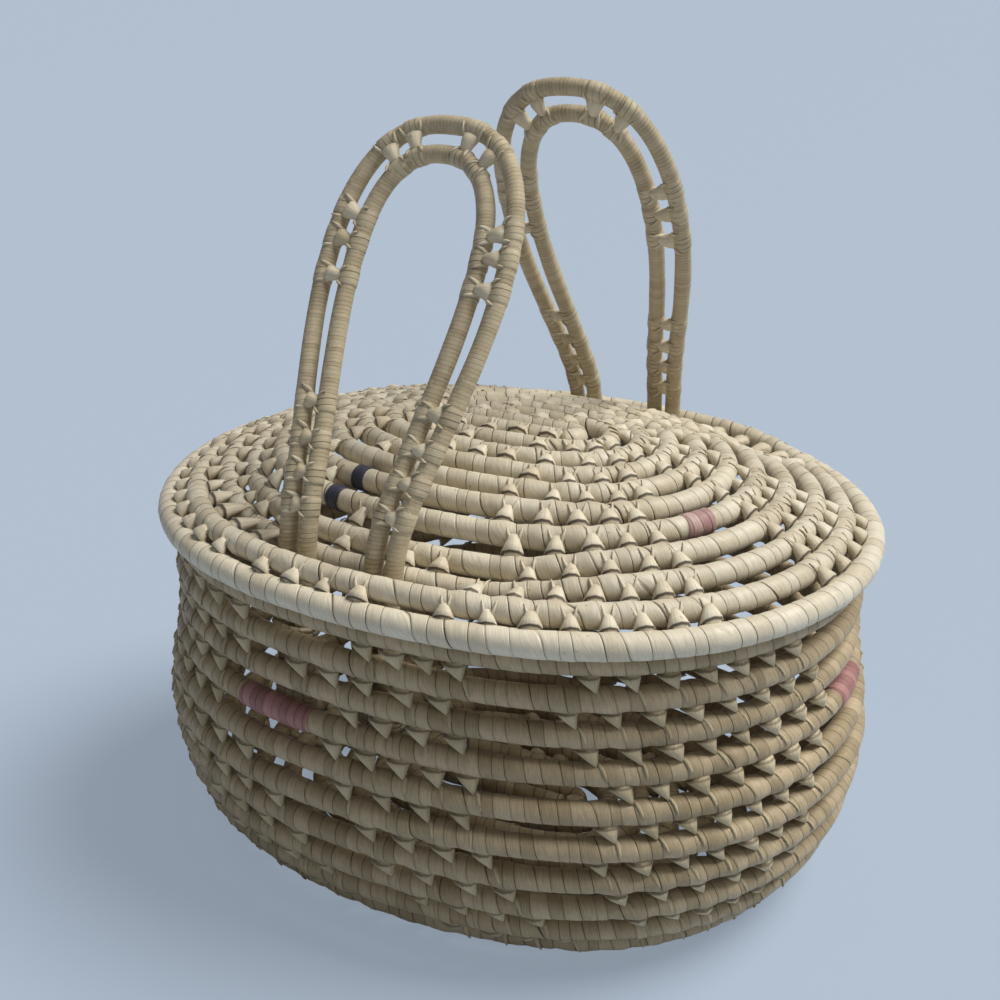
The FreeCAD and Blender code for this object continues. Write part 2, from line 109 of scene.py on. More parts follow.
def body_rows():
    """Rows one pitch apart down a straight neck, a soft bulge, a round heel and a flat base."""
    wall_z = np.arange(TOP_Z, BULGE_Z, -0.25)
    part = np.clip((NECK_Z - wall_z) / (NECK_Z - BULGE_Z), 0, 1)
    wall_half = RIM_HALF - BODY_INSET + (BODY_BULGE + BODY_INSET) * eased(part)
    turn = np.linspace(0, math.pi / 2, 601)
    heel_z = BULGE_Z - (BULGE_Z - COIL_R) * np.sin(turn)
    heel_half = RIM_HALF + BODY_BULGE - HEEL * (1 - np.cos(turn))
    base_half = np.arange(heel_half[-1], CORE_ROOM, -0.25)
    trace = np.concatenate([
        np.stack([wall_half, wall_z], 1),
        np.stack([heel_half, heel_z], 1),
        np.stack([base_half, np.full_like(base_half, COIL_R)], 1)])
    rows = [trace[0]]
    for spot in trace:
        if math.dist(spot, rows[-1]) >= WALL_PITCH:
            rows.append(spot)
    return np.array(rows)


LID = lid_rows()
BODY = body_rows()
WALL_ROWS = int((BODY[:, 1] > 1.5 * COIL_R).sum())

# Lid rows beside the legs: shift outwards and upwards by row number, fading towards the middle
LID_OUT = np.array([0, SLOT_OUT] + [-SLOT_IN * max(1.14 / (r - 1) - 0.14, 0) for r in range(2, 12)])
LID_UP = np.array([0, SLOT_RAISE]
                  + [-SLOT_DIP * max(1 - ((r - 2) / 2.3) ** 2, 0) for r in range(2, 12)])


def row_points(rows, place, station):
    """Oval: a circle stretched along X by a straight core, at a whole or part row number.

    On the lid, rows beside the handle legs move apart and dip by a smooth step of the
    distance from the legs.
    """
    place = np.asarray(place, float) + 0 * station
    number = np.arange(len(rows))
    half = np.interp(place, number, rows[:, 0]) * ROUNDING
    z = np.interp(place, number, rows[:, 1])
    turn = TAU * (station - 0.5 + SEAM) / RUNS
    x = half * np.cos(turn) + CORE_HALF * np.tanh(CORE_TURN * np.cos(turn))
    y = half * np.sin(turn)
    if rows is LID:
        leg_x = np.where(y > 0, HANDLE["far"]["x"], HANDLE["near"]["x"])
        past = np.abs(x - leg_x) - FOOT_HALF - SLOT_REACH - ROD_R
        weight = eased(np.clip(1 - past / SLOT_FADE, 0, 1))
        shifted = np.arange(len(LID_OUT))
        y = y + np.interp(place, shifted, LID_OUT) * weight * np.sign(y)
        z = z + np.interp(place, shifted, LID_UP) * weight
    return np.stack([x, y, z], -1)


def stepped(station):
    """Share of the way to the next row: a softened ramp over the last runs of a row."""
    ramp = np.clip((station - RUNS + STEP_RUNS) / STEP_RUNS, 0, 1)
    return 0.5 * (ramp + eased(ramp))


def spiral_points(rows, first, total):
    """Unbroken turns: total counts stations from the first row's start."""
    row = np.floor((total - 1) / RUNS)
    station = total - RUNS * row
    last = len(rows) - 1
    place = np.minimum(first + row + stepped(station), last)
    return row_points(rows, place, station)


def evenly(points, step):
    """Resample a line at even distances; also gives the distances of the old points."""
    lengths = np.linalg.norm(np.diff(points, axis=0), axis=1)
    distance = np.concatenate([[0], np.cumsum(lengths)])
    count = int(math.ceil(distance[-1] / step)) + 1
    even = np.linspace(0, distance[-1], count)
    line = np.stack([np.interp(even, distance, points[:, i]) for i in range(3)], 1)
    return line, even, distance


# Meshes

def put_mesh(name, verts, faces, uvs, material, body, slot, nodes):
    """Mesh object from arrays: verts in millimetres, faces as lists of their numbers.

    What would sink under the floor is pressed flat on it.
    """
    verts = np.maximum(verts, [-1e3, -1e3, 0.0])
    mesh = bpy.data.meshes.new(name)
    mesh.from_pydata((verts * 0.001).tolist(), [], faces)
    layer = mesh.uv_layers.new(name="UVMap")
    layer.data.foreach_set("uv", np.asarray(uvs, np.float32).ravel())
    mesh.polygons.foreach_set("use_smooth", np.ones(len(mesh.polygons), bool))
    mesh.materials.append(material)
    mesh.update()
    piece = bpy.data.objects.new(name, mesh)
    bpy.context.scene.collection.objects.link(piece)
    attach(piece, body)
    if nodes:
        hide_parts(*nodes)
    return piece


def grid_faces(copies, along, around, ring):
    """Quads and end caps of tubes made of rings; a closed ring has no caps.

    Gives the faces and, for each of their corners, (copy, ring, angle) before wrapping round.
    """
    i = np.arange(along if ring else along - 1)
    j = np.arange(around)
    c, i, j = np.meshgrid(np.arange(copies), i, j, indexing="ij")
    c, i, j = c.ravel(), i.ravel(), j.ravel()
    near = np.stack([i, i + 1, i + 1, i], 1)
    turn = np.stack([j, j, j + 1, j + 1], 1)
    index = (c[:, None] * along + near % along) * around + turn % around
    faces = index.tolist()
    marks = [np.stack([c[:, None] + 0 * near, near, turn], -1).reshape(-1, 3)]
    if not ring:
        angles = np.arange(around)
        for copy in range(copies):
            start = copy * along * around
            faces.append((start + angles).tolist())
            faces.append((start + (along - 1) * around + angles).tolist()[::-1])
            marks.append(np.stack([0 * angles + copy, 0 * angles, angles], 1))
            marks.append(np.stack([0 * angles + copy, 0 * angles + along - 1, angles[::-1]], 1))
    return faces, np.concatenate(marks)


def wobble(distance, seed, scale):
    """Sum of three slow sine waves with seeded phases, about -1 to 1."""
    phase = np.random.RandomState(seed).rand(3) * TAU
    waves = [math.sqrt(2), math.sqrt(5), math.sqrt(11)]
    return sum(np.sin(distance / scale * w + p) for w, p in zip(waves, phase)) / 3


def unit(rows):
    """Each row divided by its length."""
    return rows / np.linalg.norm(rows, axis=1, keepdims=True)


def tube(name, points, radius, pitch, seed, material, body, slot, nodes, ring=False,
         swell=(), around=16, step=1.25, top=UP, lap_height=0.2):
    """Coil wound with a strip of leaf, as a circle carried along a line.

    The radius is lapped once per strip (a soft saw wave of the winding number, which grows by
    one for each strip along the coil and each time round it), waves slowly, and has the swells
    given as (distance, height, width) bells. The map holds (winding number, share of the way
    round, from the hidden underside).
    """
    line, even, _ = evenly(points, step)
    if ring:
        line, along = line[:-1], even[:-1]
        tangent = unit(np.roll(line, -1, 0) - np.roll(line, 1, 0))
    else:
        along = even
        tangent = unit(np.gradient(line, axis=0))
    side = unit(np.cross(tangent, top))
    over = np.cross(side, tangent)
    turns = even[-1] / pitch
    if ring:
        turns = round(turns)
    number = np.linspace(0, turns, len(even))
    number = number + 0.42 * wobble(even, seed, 9.0) * np.minimum(1, (even[-1] - even) / 30)
    number = number[:len(line)]
    angle = np.arange(around) / around
    lap = (number[:, None] + angle[None, :]) % 1.0
    saw = np.where(lap < 0.82, lap / 0.82, (1 - lap) / 0.18)
    size = radius - 0.1 + lap_height * saw + 0.12 * wobble(along, seed + 5, 17.0)[:, None]
    if len(swell):
        spots, height, width = np.asarray(swell, float).T
        bell = np.exp(-((along[:, None] - spots) / width) ** 2) * height
        size = size + bell.sum(1)[:, None]
    if not ring:
        to_end = np.clip(np.minimum(along, even[-1] - along) / 1.2, 0, 1)
        size = size * np.sqrt(np.clip(1 - (1 - to_end) ** 2, 0.35, 1))[:, None]
    turn = TAU * (angle - 0.25)
    circle = (np.cos(turn)[None, :, None] * side[:, None]
              + np.sin(turn)[None, :, None] * over[:, None])
    verts = line[:, None] + size[..., None] * circle
    faces, marks = grid_faces(1, len(line), around, ring)
    closed = np.append(number, turns) if ring else number
    share = marks[:, 2] / around
    uvs = np.stack([closed[marks[:, 1]] + share, share], 1)
    return put_mesh(name, verts.reshape(-1, 3), faces, uvs, material, body, slot, nodes)


# Where the stitches are

def both_sides(right, left, near_groups, far_groups=None):
    """Groups of stitches round a row, in degrees: about each end, and on both long sides."""
    groups = [(180 - left, 180 + left)] + near_groups
    if right:
        groups.append((-right, right))
    if far_groups is None:
        far_groups = [(360 - last, 360 - first) for first, last in near_groups]
    return groups + far_groups


LID_GROUPS = [
    both_sides(14, 64, [(254, 269), (280, 318)]),
    both_sides(13, 66, [(282, 318)], [(42, 68)]),
    both_sides(12, 64, [(259, 275), (289, 319)]),
    both_sides(12, 58, [(248, 258), (286, 317)]),
    both_sides(12, 52, [(243, 251), (283, 323)]),
    both_sides(14, 48, [(283, 322)]),
    both_sides(16, 44, [(243, 247), (286, 322)]),
    both_sides(18, 37, [(262, 278), (290, 325)]),
    both_sides(20, 40, [(245, 262), (286, 320)]),
]
WALL_GROUPS = [
    both_sides(0, 68, [(269, 281), (299, 336)]),
    both_sides(0, 68, [(259, 279), (296, 342)]),
    both_sides(0, 68, [(262, 281), (299, 345)]),
    both_sides(0, 68, [(265, 283), (304, 343)]),
    both_sides(0, 70, [(267, 282), (302, 340)]),
    both_sides(0, 76, [(270, 285), (301, 339)]),
    both_sides(0, 79, [(272, 288), (304, 338)]),
    both_sides(0, 82, [(276, 292), (308, 338)]),
    both_sides(0, 85, [(280, 296), (309, 336)]),
]
BASE_GROUPS = both_sides(15, 15, [(218, 240), (262, 278), (300, 322)])
DYED = {
    "lid_pink_wrap": (LID, 4, 331.5, 0.7),
    "lid_navy_wrap_outer": (LID, 4, 249.5, 0.28),
    "lid_navy_wrap_inner": (LID, 5, 251.0, 0.28),
    "wall_pink_wrap_left": (BODY, 3, 255.0, 0.88),
    "wall_pink_wrap_right": (BODY, 3, 354.0, 0.88),
}


def station_at(degrees):
    """Station of an angle counted from the right end."""
    return (degrees / 360 * RUNS - 0.5 - SEAM) % RUNS + 1


def dyed_span(degrees, share):
    """Stations between which a dyed wrap lies."""
    station = station_at(degrees)
    run = int(station)
    middle = min(max(station - run, share / 2 + 0.04), 0.96 - share / 2)
    return run + middle - share / 2, run + middle + share / 2


def stitch_stations(rows, row, groups):
    """Evenly spaced stations of the stitches of one row, clear of each other and of dyed leaf."""
    spots = []
    for first, last in groups:
        start = station_at(first)
        span = (last - first) / 360 * RUNS
        arc = row_points(rows, row, start + span * np.linspace(0, 1, 21))
        count = round(np.linalg.norm(np.diff(arc, axis=0), axis=1).sum() / KNOT_STEP)
        share = np.linspace(0, 1, count + 1) if count else np.array([0.5])
        spots += list((start + span * share - 1) % RUNS + 1)
    kept = []
    for spot in spots:
        if row == 0 and spot > RUNS - STEP_RUNS / 2:
            continue
        if row + 2 >= len(rows) and spot >= RUNS - 3:
            continue
        here = row_points(rows, row, np.array([spot]))[0]
        close = any(math.dist(here, row_points(rows, row, np.array([s]))[0]) < KNOT_ROOM
                    for s in kept)
        dyed = False
        for dyed_rows, dyed_row, degrees, length in DYED.values():
            first, last = dyed_span(degrees, length)
            if rows is dyed_rows and row in (dyed_row - 1, dyed_row):
                dyed = dyed or first - 0.22 < spot < last + 0.22
        if not close and not dyed:
            kept.append(spot)
    return np.array(sorted(kept))


LID_STITCHES = [stitch_stations(LID, row, LID_GROUPS[row]) for row in range(len(LID) - 1)]
BODY_STITCHES = []
for row in range(len(BODY) - 1):
    groups = WALL_GROUPS[row] if row < WALL_ROWS - 1 else BASE_GROUPS
    BODY_STITCHES.append(stitch_stations(BODY, row, groups))


def on_row(rows, row, station, is_stepped=True):
    """Points and directions of a row at some stations."""
    place = row + (stepped(station) if is_stepped else 0)
    ahead = row + (stepped(station + 0.02) if is_stepped else 0)
    point = row_points(rows, place, station)
    return point, unit(row_points(rows, ahead, station + 0.02) - point)


# Leaf finishes

def leaf(name, pale, deep, seam_dark, fibre, seam_width=0.05, rough=0.52, lengthwise=False,
         rounded=0.14, uneven=0.55):
    """Dried palm leaf: strips that differ a little in tone, with fine fibres along each strip,
    dark laps between strips, soft blotches and small brown specks.

    On the map, the first number counts strips and the second goes round the coil. A lengthwise
    leaf has its fibres along the piece, and one dark fold in place of the laps. Rounded is the
    share of painted shade that darkens each strip towards its edges, for the shade on its rounded
    sides.
    """
    made = bpy.data.materials.new(name)
    made.use_nodes = True
    tree = made.node_tree
    shader = tree.nodes["Principled BSDF"]

    def plug(socket, value):
        if isinstance(value, tuple):
            socket.default_value = (*value, 1)
        elif isinstance(value, float):
            socket.default_value = value
        else:
            tree.links.new(value, socket)

    def math_node(operation, *values):
        new = tree.nodes.new("ShaderNodeMath")
        new.operation = operation
        for socket, value in zip(new.inputs, values):
            plug(socket, value)
        return new.outputs[0]

    def ramp(value, low, high):
        new = tree.nodes.new("ShaderNodeMapRange")
        new.interpolation_type = "SMOOTHSTEP"
        for socket, part in zip(new.inputs, (value, low, high)):
            plug(socket, part)
        return new.outputs[0]

    def mix(a, b, factor, blend="MIX"):
        new = tree.nodes.new("ShaderNodeMix")
        new.data_type, new.blend_type = "RGBA", blend
        for socket, part in ((0, factor), (6, a), (7, b)):
            plug(new.inputs[socket], part)
        return new.outputs[2]

    def noise(vector, scale, detail, roughness):
        new = tree.nodes.new("ShaderNodeTexNoise")
        for socket, part in (("Vector", vector), ("Scale", scale), ("Detail", detail),
                             ("Roughness", roughness)):
            plug(new.inputs[socket], part)
        return new.outputs[0]

    coordinates = tree.nodes.new("ShaderNodeTexCoord")
    uv = tree.nodes.new("ShaderNodeSeparateXYZ")
    plug(uv.inputs[0], coordinates.outputs["UV"])
    u, v = uv.outputs[0], uv.outputs[1]
    turn = math_node("MULTIPLY", v, TAU)
    along, about = (1.2, 9.0) if lengthwise else (26.0, 0.9)
    fibres_at = tree.nodes.new("ShaderNodeCombineXYZ")
    plug(fibres_at.inputs[0], math_node("MULTIPLY", u, along))
    plug(fibres_at.inputs[1], math_node("MULTIPLY", math_node("COSINE", turn), about))
    plug(fibres_at.inputs[2], math_node("MULTIPLY", math_node("SINE", turn), about))
    grain = ramp(noise(fibres_at.outputs[0], 1.0, 3.0, 0.62), 0.30, 0.72)
    strip_node = tree.nodes.new("ShaderNodeTexWhiteNoise")
    strip_node.noise_dimensions = "1D"
    plug(strip_node.inputs["W"], math_node("FLOOR", u))
    strip = strip_node.outputs[0]
    blotch = noise(coordinates.outputs["Object"], 55.0, 4.0, 0.6)
    specks = ramp(noise(coordinates.outputs["Object"], 420.0, 2.0, 0.5), 0.70, 0.76)

    tone = math_node("ADD", math_node("MULTIPLY", strip, uneven), math_node("MULTIPLY", blotch, 0.75))
    colour = mix(pale, deep, ramp(tone, 0.25, 1.05))
    colour = mix(colour, (0.62, 0.60, 0.56), math_node("MULTIPLY", grain, fibre), "MULTIPLY")
    lap = math_node("FRACT", u)
    edge = math_node("MINIMUM", lap, math_node("SUBTRACT", 1.0, lap))
    if lengthwise:
        fold = math_node("ABSOLUTE", math_node("SUBTRACT", lap, 0.16))
        line = math_node("SUBTRACT", 1.0, ramp(fold, 0.03, 0.085))
    else:
        worn = math_node("ADD", math_node("MULTIPLY", ramp(strip, 0.05, 0.6), 0.8),
                         math_node("MULTIPLY", ramp(blotch, 0.35, 0.6), 0.5))
        line = math_node("SUBTRACT", 1.0, ramp(edge, seam_width * 0.35, seam_width))
        line = math_node("MULTIPLY", line, worn)
        # Painted shade: the share rounded darkens each strip towards its edges, as if its rounded sides
        # were in shade.
        soft = math_node("SUBTRACT", 1.0, ramp(edge, 0.0, 0.2))
        colour = mix(colour, (0.50, 0.42, 0.31), math_node("MULTIPLY", soft, rounded), "MULTIPLY")
    colour = mix(colour, (0.05, 0.032, 0.018), math_node("MULTIPLY", line, seam_dark))
    colour = mix(colour, (0.33, 0.21, 0.12), math_node("MULTIPLY", specks, 0.55))
    plug(shader.inputs["Base Color"], colour)

    bump = tree.nodes.new("ShaderNodeBump")
    plug(bump.inputs["Strength"], 0.55)
    plug(bump.inputs["Distance"], 0.0003)
    plug(bump.inputs["Height"], math_node("ADD", math_node("MULTIPLY", grain, 0.35),
                                          math_node("MULTIPLY", ramp(edge, 0.0, 0.07), 1.6)))
    plug(shader.inputs["Normal"], bump.outputs[0])
    plug(shader.inputs["Roughness"], math_node("ADD", math_node("MULTIPLY", grain, 0.16), rough - 0.06))
    plug(shader.inputs["Sheen Weight"], 0.12)
    plug(shader.inputs["Sheen Roughness"], 0.45)
    plug(shader.inputs["Specular IOR Level"], 0.42)
    return made


RIM_LEAF = leaf("rim_leaf", (0.86, 0.79, 0.63), (0.72, 0.63, 0.47), 1.0, 0.50, 0.032, 0.45)
LID_LEAF = leaf("lid_leaf", (0.83, 0.76, 0.60), (0.66, 0.57, 0.42), 1.0, 0.60, 0.036, 0.46)
# Painted shade: the wall's leaf is the lid's palm leaf painted darker for the shade the wall stands in
# under the lid.
SHADED_WALL_LEAF = leaf("shaded_wall_leaf", (0.60, 0.48, 0.31), (0.40, 0.31, 0.18), 1.0, 0.80, 0.034)
LID_STITCH = leaf("lid_stitch_leaf", (0.87, 0.79, 0.62), (0.70, 0.60, 0.43), 0.9, 0.55,
                  lengthwise=True)
# Painted shade: the wall's stitches are the lid's stitch leaf painted darker for the wall's shade.
SHADED_WALL_STITCH = leaf("shaded_wall_stitch_leaf", (0.66, 0.56, 0.37), (0.47, 0.38, 0.22), 0.6, 0.65,
                   lengthwise=True)
HANDLE_LEAF = leaf("handle_leaf", (0.68, 0.57, 0.38), (0.46, 0.37, 0.22), 0.55, 0.80, 0.09,
                   rounded=0.05, uneven=0.35)
HANDLE_STITCH = leaf("handle_stitch_leaf", (0.82, 0.73, 0.55), (0.62, 0.52, 0.35), 0.6, 0.60,
                     lengthwise=True)
HANDLE_BAND = leaf("handle_band_leaf", (0.70, 0.60, 0.41), (0.50, 0.41, 0.26), 0.75, 0.75, 0.09,
                   rounded=0.05, uneven=0.35)
LID_PINK = leaf("lid_pink_leaf", (0.70, 0.50, 0.46), (0.48, 0.28, 0.27), 0.7, 0.7, 0.06)
# Painted shade: the wall's pink wrap is the lid's pink leaf painted darker for the wall's shade.
SHADED_WALL_PINK = leaf("shaded_wall_pink_leaf", (0.54, 0.27, 0.25), (0.34, 0.15, 0.14), 0.7, 0.7, 0.06)
NAVY_LEAF = leaf("navy_leaf", (0.045, 0.045, 0.085), (0.03, 0.03, 0.05), 0.5, 0.4, 0.08)


# Coils

def row_swells(rows, first, last, distance_of, height=0.55):
    """Bells of thickness: barrels under each stitch's foot, nips where a stitch ends."""
    table = LID_STITCHES if rows is LID else BODY_STITCHES
    swells = []
    for row in range(first, last + 1):
        before = RUNS * (row - first)
        if row < len(table):
            swells += [(distance_of(station + before), height, 4.8) for station in table[row]]
        if row >= 1:
            swells += [(distance_of(station + before), -0.35, 2.2) for station in table[row - 1]]
    return swells


def wind_spiral(name, rows, first, last, material, body, pitch, seed):
    """Coil over several rows, from the middle of its first run to the middle of one run more;
    the innermost coil stops short of its last step."""
    end = RUNS * (last - first + 1) + (1.5 if last + 1 < len(rows) else -2.5)
    total = np.append(np.arange(1.5, end, 0.02), end)
    points = spiral_points(rows, first, total)
    distance = evenly(points, 1.0)[2]
    swells = row_swells(rows, first, last, lambda s: np.interp(s, total, distance))
    tube(name + "_winding", points, COIL_R, pitch, seed, material, body, "palm_leaf",
         [name + "_coil"], swell=swells)


def wind_ring(name, rows, radius, material, body, pitch, seed):
    """Closed coil of the outermost row."""
    total = np.linspace(1, RUNS + 1, 1600)
    points = row_points(rows, 0, total)
    distance = evenly(points, 1.0)[2]
    swells = row_swells(rows, 0, 0, lambda s: np.interp(s, total, distance), 0.15)
    tube(name + "_winding", points, radius, pitch, seed, material, body, "palm_leaf",
         [name + "_coil"], ring=True, swell=swells)


HALF_WALL = (WALL_ROWS + 1) // 2
wind_ring("lid_rim", LID, RIM_R, RIM_LEAF, "lid", 8.2, 3)
wind_spiral("lid_slot", LID, 1, 1, LID_LEAF, "lid", 8.0, 4)
wind_spiral("lid_crown", LID, 2, len(LID) - 1, LID_LEAF, "lid", 7.4, 5)
# The basket's coils take the wall leaf, painted darker as shade.
wind_ring("body_rim", BODY, COIL_R, SHADED_WALL_LEAF, "basket", 6.6, 6)
wind_spiral("wall_upper", BODY, 1, HALF_WALL - 1, SHADED_WALL_LEAF, "basket", 6.2, 7)
wind_spiral("wall_lower", BODY, HALF_WALL, WALL_ROWS - 1, SHADED_WALL_LEAF, "basket", 6.2, 8)
wind_spiral("base", BODY, WALL_ROWS, len(BODY) - 1, SHADED_WALL_LEAF, "basket", 6.2, 9)

# The cores: two bars side by side, each turned round at one end to meet the other
for word, rows, height, body, material in (
        ("lid", LID, RIM_Z + LID_RISE, "lid", LID_LEAF), ("base", BODY, COIL_R, "basket", SHADED_WALL_LEAF)):
    reach = CORE_HALF + rows[-1][0] - CORE_SHORT
    x = np.linspace(-reach, reach, 60)
    bend = np.linspace(0, math.pi * 0.96, 16)[1:]
    path = np.concatenate([np.stack([x, np.full_like(x, CORE_Y)], 1),
                           np.stack([reach + CORE_Y * np.sin(bend), CORE_Y * np.cos(bend)], 1)])
    for side, place in ((-1, "near"), (1, "far")):
        points = np.column_stack([side * path, np.full(len(path), height)])
        tube("%s_core_winding_%s" % (word, place), points, COIL_R, 6.8, 20 + side, material, body,
             "palm_leaf", ["%s_core_%s" % (word, place)], step=0.9)


# Stitches

CONE_RUN = np.array([0, 0.20, 0.27, 0.55, 0.80, 1.0])       # rings of a cone from foot to tip
CONE_LIP = 1.12                                             # half width at the lip, over wide
CONE_FOOT = [0.80, 0.92, CONE_LIP]                          # half widths up to the lip
CONE_TAPER = np.array([0.36, 0.72, 1.0])                    # share of the way from lip to tip
CONE_DEPTH = np.array([2.2, 2.8, 3.6, 2.6, 1.8, 1.0])
CONE_RISE = 1.2                                             # foot's height in front of the axis
LID_CONE = {"material": LID_STITCH, "body": "lid", "lean": 0.15, "tip": 0.42}
# Wall stitches take the stitch leaf painted darker as shade.
WALL_CONE = {"material": SHADED_WALL_STITCH, "body": "basket", "lean": -0.9, "tip": 0.12,
             "strands": (-3.0,), "over": 0.86, "wide": 4.5}
BOW_WIDTH = np.array([3.6, 4.1, 3.7, 3.1, 2.6, 2.4, 2.2])
BOW_DEPTH = np.array([1.5, 2.5, 2.9, 2.8, 2.6, 2.3, 1.4])
STRAND_SWEEP = np.linspace(0.15, 1.75, 5)                   # radians round the coil
STRAND_HALF = np.array([1.05, 1.0, 0.9, 0.62, 0.12])
STRAND_PROUD = 0.42
BOW_U = 0.29                                                # keeps a bow clear of the dark fold


def face_out(faces, marks, verts, inside):
    """Turn every face round if the first one looks towards the inside point."""
    first = verts[faces[0]]
    normal = np.cross(first[1] - first[0], first[3] - first[0])
    if normal @ (first[0] - inside) > 0:
        return faces, marks
    ends = np.cumsum([0] + [len(face) for face in faces])
    order = np.concatenate([np.arange(a, b)[::-1] for a, b in zip(ends[:-1], ends[1:])])
    return [face[::-1] for face in faces], marks[order]


def frame_between(low, high, along, outward):
    """Unit axis from coil to coil, unit way along the coils and unit front, towards outward."""
    span = np.linalg.norm(high - low, axis=1)
    axis = unit(high - low)
    across = unit(along - axis * (along * axis).sum(1, keepdims=True))
    front = np.cross(across, axis)
    flip = np.where((front * outward).sum(1) < 0, -1.0, 1.0)[:, None]
    return axis, across * flip, front * flip, span


def ellipses(low, axis, across, front, run, shift, rise, width, depth, first_u=0.0, sides=8):
    """Ellipses carried along an axis: each ring has its own place, size and sideways shift."""
    angle = TAU * np.arange(sides) / sides
    centre = (low[:, None] + axis[:, None] * run[..., None] + across[:, None] * shift[..., None]
              + front[:, None] * rise[..., None])
    verts = (centre[:, :, None]
             + across[:, None, None] * (width[..., None] * np.cos(angle))[..., None]
             + front[:, None, None] * (depth[..., None] * np.sin(angle))[..., None])
    faces, marks = grid_faces(len(low), run.shape[1], sides, False)
    flat = verts.reshape(-1, 3)
    faces, marks = face_out(faces, marks, flat, centre[0, 0])
    uvs = np.stack([marks[:, 0] * 3.0 + first_u + 0.7 * marks[:, 1] / run.shape[1],
                    marks[:, 2] / sides], 1)
    return flat, faces, uvs


def strand(coil, towards, front, across, start, slip, radius, grow):
    """Flat strand: a diamond carried on a circle about the coil's centre, from the side that
    towards points to over the front, slipping along the coil and thinning to a point."""
    ray = (towards[:, None] * np.cos(STRAND_SWEEP)[None, :, None]
           + front[:, None] * np.sin(STRAND_SWEEP)[None, :, None])
    slide = start[:, None] + slip[:, None] * (STRAND_SWEEP / STRAND_SWEEP[-1])[None, :] ** 0.8
    middle = coil[:, None] + ray * (radius + STRAND_PROUD) + across[:, None] * slide[..., None]
    half = STRAND_HALF * grow[:, None]
    sideways, upward = np.array([1, 0, -1, 0]), np.array([0, 0.32, 0, -0.5])
    verts = (middle[:, :, None]
             + across[:, None, None] * (half[..., None] * sideways)[..., None]
             + ray[:, :, None] * upward[None, None, :, None])
    faces, marks = grid_faces(len(coil), len(STRAND_SWEEP), 4, False)
    flat = verts.reshape(-1, 3)
    faces, marks = face_out(faces, marks, flat, middle[0, 0])
    uvs = np.stack([marks[:, 0] * 3.0 + 1.3 + 0.1 * marks[:, 1], marks[:, 2] / 4], 1)
    return flat, faces, uvs


def join(parts):
    """Several (verts, faces, map) sets as one."""
    verts, faces, uvs, base = [], [], [], 0
    for flat, some_faces, some_uvs in parts:
        faces += [[i + base for i in face] for face in some_faces]
        verts.append(flat)
        uvs.append(some_uvs)
        base += len(flat)
    return np.concatenate(verts), faces, np.concatenate(uvs)


def stitches(name, node, low, low_along, high, low_r, outward, seed, material, body, lean, tip,
             strands, over, wide):
    """Cone-shaped knots between two coils, with the strands that run on over the second coil.

    A cone is an ellipse carried from the first coil's surface over the second's flank: it starts
    inside the first coil, stands out in a folded lip, and narrows in a straight line to its tip.
    Lean 1 or -1 keeps one edge of the cone square to the coil, so that the other edge slants;
    over is how far the tip stays from the second coil's centre line, in coil radii.
    """
    count = len(low)
    rand = np.random.RandomState(seed)
    grow = 1 + 0.3 * (rand.rand(count) - 0.5)
    waver = 2.2 * (rand.rand(count) - 0.5)
    axis, across, front, span = frame_between(low, high, low_along, outward)
    start, stop = 0.55 * low_r, span - COIL_R * over
    run = start + (stop - start)[:, None] * CONE_RUN
    share = np.append(CONE_FOOT, CONE_LIP + (tip - CONE_LIP) * CONE_TAPER)
    tip_rise = 0.9 * COIL_R * math.sqrt(1 - over * over)
    rise = CONE_RISE + (tip_rise - CONE_RISE) * CONE_RUN + 0.5 * np.sin(math.pi * CONE_RUN)
    shift = lean * wide * (CONE_LIP - share) + waver[:, None] * CONE_RUN
    grown = grow[:, None]
    parts = [ellipses(low, axis, across, front, run, shift, rise * grown, share * wide * grown,
                      CONE_DEPTH * grown)]
    for fan in strands:
        parts.append(strand(high, -axis, front, across, shift[:, -1],
                            fan * (0.6 + rand.rand(count)), COIL_R, grow))
    put_mesh(name, *join(parts), material, body, "stitch_leaf", [node])


def bows(name, node, outer, inner, way, outward, body, seed):
    """Bows between the two canes of a handle: an ellipse carried from cane to cane, broad at the
    outer one and narrow near the inner one, with two strands folded over each cane."""
    count = len(outer)
    rand = np.random.RandomState(seed)
    grow = 1 + 0.2 * (rand.rand(count) - 0.5)
    axis, across, front, span = frame_between(outer, inner, way, outward)
    ease = np.linspace(0, 1, len(BOW_WIDTH))
    run = 0.5 * ROD_R + (span - ROD_R)[:, None] * ease
    same = np.ones((count, 1))
    rise = (1.2 + 0.7 * np.sin(math.pi * ease)) * same
    shift = (rand.rand(count) - 0.5)[:, None] * ease
    parts = [ellipses(outer, axis, across, front, run, shift, rise, BOW_WIDTH * grow[:, None],
                      BOW_DEPTH * same, BOW_U)]
    for side in (-1, 1):
        slip = side * (1.6 + 1.8 * rand.rand(count))
        parts.append(strand(outer, axis, front, across, side * 2.6 * grow, slip, ROD_R, grow))
        slip = side * (2.2 + 1.8 * rand.rand(count))
        parts.append(strand(inner, -axis, front, across, side * 1.1 * grow, slip, ROD_R, grow))
    put_mesh(name, *join(parts), HANDLE_STITCH, body, "handle_leaf", [node])


